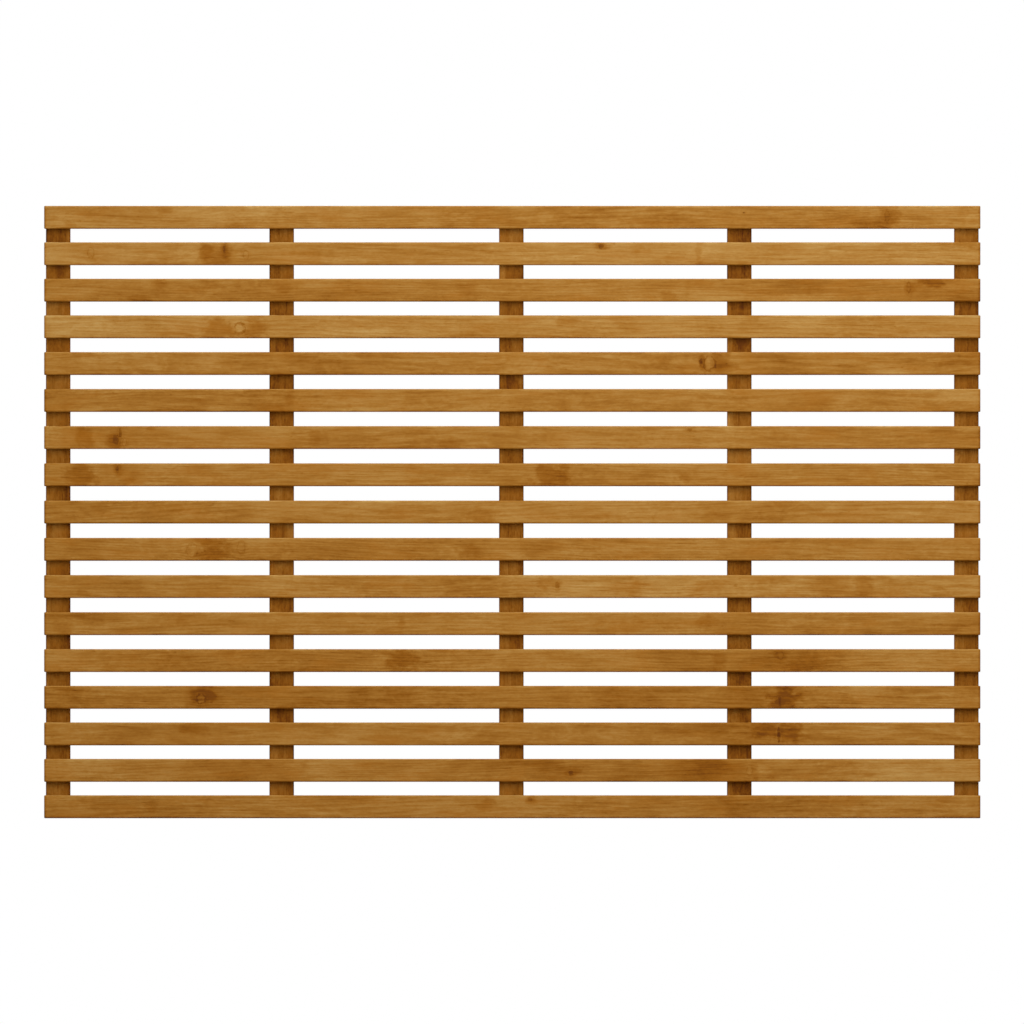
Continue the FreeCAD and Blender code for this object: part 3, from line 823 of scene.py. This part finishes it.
# Starts of the random draws; a batten's number is added to each.
batten_nick_seed = 500
batten_wood_seed = 600
batten_log_seed = 700

# How light each batten took the stain, from the left one on.
batten_tones = (0.02, 0.0, 0.08, 0.02, 0.095)

# Patches that drank more stain, as on the slats: place up the batten from its middle, place across it, half
# length, half width and darkness, in millimetres.
batten_soaks = {
    1: [(326, 0, 20, 24, 0.5), (469, -8, 20, 16, 0.6), (-120, 6, 18, 18, 0.5), (520, 0, 60, 30, 0.3),
        (-420, 0, 220, 50, -0.35)],
    2: [(110, 12, 18, 16, 0.55), (-391, 0, 30, 24, 0.5), (-40, -6, 18, 16, 0.45), (-180, 4, 20, 18, 0.4),
        (440, 0, 220, 50, -0.4), (-250, 0, 300, 50, 0.15)],
    3: [(-250, 14, 16, 12, 0.5), (250, -4, 22, 20, 0.5), (-470, 0, 22, 20, 0.55), (469, 4, 18, 20, 0.4)],
    4: [(330, 8, 18, 18, 0.6), (-328, 0, 22, 26, 0.55), (-469, 0, 20, 26, 0.55), (-539, 0, 20, 26, 0.5),
        (-399, 10, 14, 14, 0.5)],
    5: [(326, -12, 18, 14, 0.6), (-180, 8, 20, 16, 0.45), (40, -6, 20, 16, 0.4), (440, 0, 220, 50, 0.45),
        (-60, 0, 150, 50, -0.25)],
}

# Knots on each batten's back are drawn at random between these, with the columns of the slats' knots.
batten_knot_count = 4
rear_knot_least = (-560, -12, 4, 5, 0.5, 3, 0)
rear_knot_most = (560, 12, 7, 9, 0.9, 5, 0.4)

# Screw places from each crossing's middle, the seats' radii, and mesh lines round each seat.
screw_side_step = 0.011
screw_up_step = 0.010
countersink_mouth = 0.00485
countersink_floor = 0.0023
countersink_lines = np.array([0, 1.2, 2.3, 3.6, 4.85, 5.15, 6.2, 8.0]) * millimetre
countersink_lines = np.concatenate([-countersink_lines[:0:-1], countersink_lines])


def sink_holes(along, face, depth, depth_size, holes):
    """Presses countersunk seats into a batten's back, where square rings of the grid become round ones.

    A ring at distance m from a screw, by the larger of its two offsets, is drawn to a circle of radius m
    inside the mouth and eases back to a square at the patch's border.  Inside the mouth the depth grows by
    the distance in, a 90 degree cone, down to the floor.
    """
    on_back = depth > depth_size / 2 - 1e-6
    beside = face[:, None] - holes[:, 0]
    above = along[:, None] - holes[:, 1]
    ring = np.maximum(np.abs(beside), np.abs(above))
    nearest = ring.argmin(axis=1)
    row = np.arange(along.size)
    ring = ring[row, nearest]
    beside = beside[row, nearest]
    above = above[row, nearest]
    patch = countersink_lines[-1]
    rounding = np.clip((patch - ring) / (patch - countersink_mouth * 1.1), 0, 1) * on_back
    pull = rounding * (ring / np.maximum(np.hypot(beside, above), 1e-9) - 1)
    sunk = np.clip(countersink_mouth - ring, 0, countersink_mouth - countersink_floor) * on_back
    return along + above * pull, face + beside * pull, depth - sunk


# The battens' level sits well below the slats': partly a darker stain and partly painted shade for their
# place behind the slats.
batten_stain_and_shade = stained_timber("batten stain and shade", batten_ring_pitch, tone=-0.262, streak_share=0.1,
                              grit_share=0.38, soak_share=1.0)
slat_middles = np.array([np.mean([corner[2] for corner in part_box(f"slat_{number:02d}")])
                         for number in range(1, slat_count + 1)])

for number in range(1, batten_count + 1):
    node = f"batten_{number}"
    low, high = (np.array(corner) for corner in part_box(node))
    face_size, depth_size, length = high - low
    sizes = (length, face_size, depth_size)
    middle = (low + high) / 2
    heights = slat_middles - middle[2]
    holes = np.concatenate([
        np.stack([np.full(slat_count, side * screw_side_step), heights + side * screw_up_step], axis=1)
        for side in (-1, 1)
    ])
    nicks = arris_nicks(batten_nick_seed + number, length, batten_nick_count)
    draw = np.random.default_rng(batten_wood_seed + number)
    pith_face = draw.choice([-1, 1]) * draw.uniform(0.002, 0.03)
    pith_depth = draw.choice([-1, 1]) * draw.uniform(0.02, 0.06)
    rear_knots = draw.uniform(rear_knot_least, rear_knot_most, (batten_knot_count, len(rear_knot_least)))
    soaks = batten_soaks[number]
    strip_ends = (np.arange(1, batten_strips) / batten_strips - 0.5) * length
    stations = np.concatenate([
        np.arange(-length / 2, length / 2, batten_row_step),
        (holes[:, 1][:, None] + countersink_lines).ravel(),
        (rear_knots[:, :1] * millimetre + knot_rows).ravel(),
        strip_ends,
    ])
    front_lines = face_lines(face_size, batten_round, batten_line_count)
    sink_lines = np.concatenate([side * screw_side_step + countersink_lines for side in (-1, 1)])
    rear_lines = np.unique(np.concatenate([front_lines[[0, 1, -2, -1]], [0], sink_lines]))
    columns = section_columns(face_size, depth_size, batten_round, front_lines, rear_lines)
    rows = end_to_end(length, batten_ease, stations)
    points = board_points(columns, rows, batten_round)
    along, face, depth, arris, end_grain_and_shade = points
    knot_place, knot_look, grain_face = knot_fields(along, face, depth, rear_knots)
    knot_look[depth < 0, 0] = 0
    grain_face = np.where(depth < 0, face, grain_face)
    edge = face_size / 2
    # Painted shade darkens both long edges of each batten, most towards its front and back faces.
    edge_shade = rise(np.abs(face), edge - batten_side_edge_shade_width, edge - batten_edge_margin)
    edge_shade = edge_shade * near_faces(depth, depth_size, start=0.2, least=0.25)
    tone = batten_tones[number - 1] - batten_lean_share * face / edge - batten_side_edge_shade_share * edge_shade
    finish_and_shade = np.stack([tone, arris, end_grain_and_shade], axis=1)
    attributes = {
        "log_place": log_places(along, grain_face, depth, batten_log_seed + number, (pith_face, pith_depth)),
        "knot_place": knot_place,
        "knot_look": knot_look,
        "soaked": soaked_fields(along, face, soaks),
        "finish_and_shade": finish_and_shade,
    }
    bruised = bruise(along, face, depth, (face_size, depth_size), nicks)
    sunk = sink_holes(along, *bruised, depth_size, holes)
    board = board_object(f"{node}_board", columns, rows, points, sunk, sizes, (2, 0, 1), middle,
                         batten_strips, attributes)
    board.data.materials.append(batten_stain_and_shade)
    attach(board, "root")
    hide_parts(node)

# Screws
# Countersunk cross-recess wood screws of zinc-plated steel, two at each crossing, driven from behind.
# The driver has scuffed the plating a little, and it has dulled unevenly outdoors.


def zinc_plate():
    """Zinc plating: a pale grey metal with cloudy dulling and fine scuffs."""
    material, tree, shader = new_finish("zinc plate")
    place = add(tree, "ShaderNodeTexCoord", {}, output="Object")
    dulling = cloudy(tree, stretched(tree, place, 420.0, 420.0), 3.0, 0.6)
    scuffs = cloudy(tree, stretched(tree, place, 2600.0, 700.0), 2.0, 0.6)
    bright = from_screen(168, 160, 138)
    dulled = from_screen(120, 112, 92)
    feed(tree, shader.inputs["Base Color"], mixed(tree, step_up(tree, dulling, 0.35, 0.68), bright, dulled))
    shader.inputs["Metallic"].default_value = 1.0
    feed(tree, shader.inputs["Roughness"], maths(tree, "MULTIPLY_ADD", dulling, 0.35, 0.18))
    bump = add(tree, "ShaderNodeBump", {"Height": scuffs, "Strength": 0.25, "Distance": 0.00005})
    feed(tree, shader.inputs["Normal"], bump)
    return material


screw_zinc = zinc_plate()
for name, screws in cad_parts.items():
    if "screw" in name:
        for slot in screws.material_slots:
            slot.material = screw_zinc

# Floor and light
# The panel stands on a wide pale floor that fades into a white room.  A broad soft lamp lights it from the
# front and above, with weaker ones overhead and far in front, and a fourth lights the back from high up.

floor_reach = 40.0
floor_fade_start = 1.1
floor_fade_stop = 2.9


def seen_white(tree):
    """1 for rays from the camera or by way of gloss or glass, which see a white room, and 0 for the rest."""
    path = tree.nodes.new("ShaderNodeLightPath")
    seen = maths(tree, "MAXIMUM", path.outputs["Is Camera Ray"], path.outputs["Is Glossy Ray"])
    return maths(tree, "MAXIMUM", seen, path.outputs["Is Transmission Ray"])


def pale_floor():
    """Matt pale floor that keeps the shadow near the panel and fades to the white of the room further out.

    Bounced light meets it darker, so undersides stay in shade.
    """
    material, tree, shader = new_finish("pale floor")
    seen = seen_white(tree)
    place = add(tree, "ShaderNodeTexCoord", {}, output="Object")
    distance = add(tree, "ShaderNodeVectorMath", {0: place}, output="Value", operation="LENGTH")
    fade = step_up(tree, distance, floor_fade_start, floor_fade_stop)
    near_colour = mixed(tree, fade, (0.75, 0.75, 0.75, 1), (0, 0, 0, 1))
    feed(tree, shader.inputs["Base Color"], mixed(tree, seen, (0.35, 0.35, 0.35, 1), near_colour))
    glow = maths(tree, "MULTIPLY_ADD", fade, 0.72, 0.28)
    shader.inputs["Emission Color"].default_value = (1, 1, 1, 1)
    feed(tree, shader.inputs["Emission Strength"], maths(tree, "MULTIPLY", glow, seen))
    shader.inputs["Roughness"].default_value = 0.9
    shader.inputs["Specular IOR Level"].default_value = 0.1
    return material


# The floor is rings of points about its middle, with quads between rings and triangles inside the first.
rings = np.array([1.0, 2.0, 4.0, 8.0, 16.0, floor_reach])
turns = np.linspace(0, 2 * math.pi, 97)[:-1]
floor_points = np.stack([np.outer(rings, np.cos(turns)), np.outer(rings, np.sin(turns)),
                         np.zeros((rings.size, turns.size))], axis=-1).reshape(-1, 3)
floor_points = np.concatenate([floor_points, [[0, 0, 0]]])
grid = np.arange(rings.size * turns.size).reshape(rings.size, turns.size)
beside = np.roll(grid, -1, axis=1)
floor_faces = np.stack([grid[:-1], grid[1:], beside[1:], beside[:-1]], axis=-1).reshape(-1, 4).tolist()
floor_faces += np.stack([np.full(turns.size, len(floor_points) - 1), grid[0], beside[0]], axis=-1).tolist()
floor_mesh = bpy.data.meshes.new("floor")
floor_mesh.from_pydata(floor_points.tolist(), [], floor_faces)
floor_mesh.materials.append(pale_floor())
floor = bpy.data.objects.new("floor", floor_mesh)
bpy.context.collection.objects.link(floor)
floor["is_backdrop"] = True

panel_middle = np.array([0.0, 0.0, (cad_low[2] + cad_high[2]) / 2])


def soft_lamp(name, place, width, watts):
    """A square lamp aimed at the middle of the panel."""
    lamp = bpy.data.lights.new(name, "AREA")
    lamp.size = width
    lamp.energy = watts
    holder = bpy.data.objects.new(name, lamp)
    holder.location = place
    aim = panel_middle - np.array(place)
    holder.rotation_mode = "XYZ"
    tilt = math.pi / 2 + math.atan2(aim[2], math.hypot(aim[0], aim[1]))
    holder.rotation_euler = (tilt, 0, math.atan2(aim[1], aim[0]) - math.pi / 2)
    holder.visible_camera = False
    bpy.context.collection.objects.link(holder)


soft_lamp("key lamp", (0.9, -4.8, 3.1), 4.2, 248)
soft_lamp("top lamp", (0.3, -0.6, 5.0), 3.0, 80)
soft_lamp("front lamp", (0.4, -9.5, 1.1), 3.5, 56)
soft_lamp("back lamp", (-0.8, 4.6, 3.6), 3.0, 235)

world = bpy.data.worlds.new("white room")
bpy.context.scene.world = world
world.use_nodes = True
sky = world.node_tree
background = sky.nodes["Background"]
background.inputs["Color"].default_value = (1, 1, 1, 1)
room_light = 0.2
room_strength = maths(sky, "MULTIPLY_ADD", seen_white(sky), 1 - room_light, room_light)
feed(sky, background.inputs["Strength"], room_strength)

# Camera
# It looks square on at the panel's front, with no perspective, as if from very far off.
# The panel's middle lies at its place in the picture.

metres_per_pixel = 0.0019546
picture_pixels = 1024
panel_middle_pixel = (512.27, 512.06)
camera_data = bpy.data.cameras.new("camera")
camera_data.type = "ORTHO"
camera_data.ortho_scale = picture_pixels * metres_per_pixel
camera = bpy.data.objects.new("camera", camera_data)
aside = (picture_pixels / 2 - panel_middle_pixel[0]) * metres_per_pixel
raised = (panel_middle_pixel[1] - picture_pixels / 2) * metres_per_pixel
camera.location = (aside, -8.0, panel_middle[2] + raised)
camera.rotation_euler = (math.pi / 2, 0, 0)
bpy.context.collection.objects.link(camera)
bpy.context.scene.camera = camera
bpy.context.scene.view_settings.view_transform = "Standard"

low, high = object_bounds()
